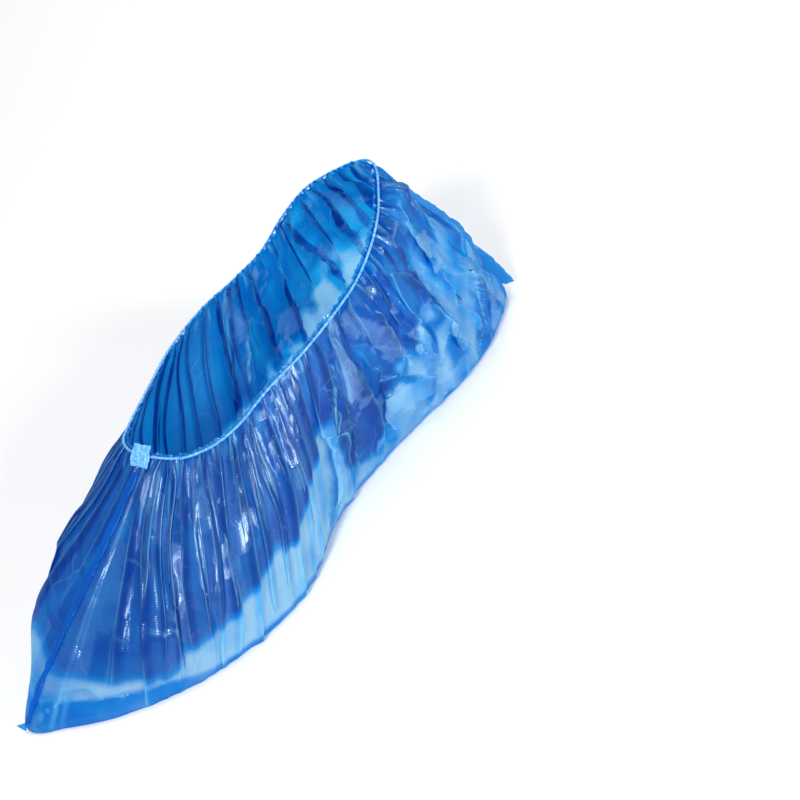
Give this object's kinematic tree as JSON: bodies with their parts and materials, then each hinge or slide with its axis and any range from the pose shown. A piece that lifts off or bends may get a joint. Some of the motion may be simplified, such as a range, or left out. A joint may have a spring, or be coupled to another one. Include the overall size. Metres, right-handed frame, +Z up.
{
  "type": "shoe cover",
  "caption": "Thin blue film overshoe with gathered elastic mouth, front tab, sealed toe and heel seams and a pointed toe corner.",
  "frame": {"origin": "middle of the bounding box, on the surface the cover stands on", "axes": "+Z up, toe towards -Y, heel towards +Y, the wearer's left side towards +X"},
  "size_m": [0.128, 0.3542, 0.1203],
  "materials": {
    "blue_film": "thin embossed translucent blue film, glossy, crumpled",
    "elastic": "pale blue elastic cord",
    "tab": "rough light blue welded film",
    "sealed_edge": "heat-sealed double film, lighter blue"
  },
  "bodies": {
    "root": {"film_body": "blue_film", "elastic_band": "elastic", "front_tab": "tab", "front_seam": "sealed_edge", "heel_seam": "sealed_edge"}
  },
  "joints": []
}
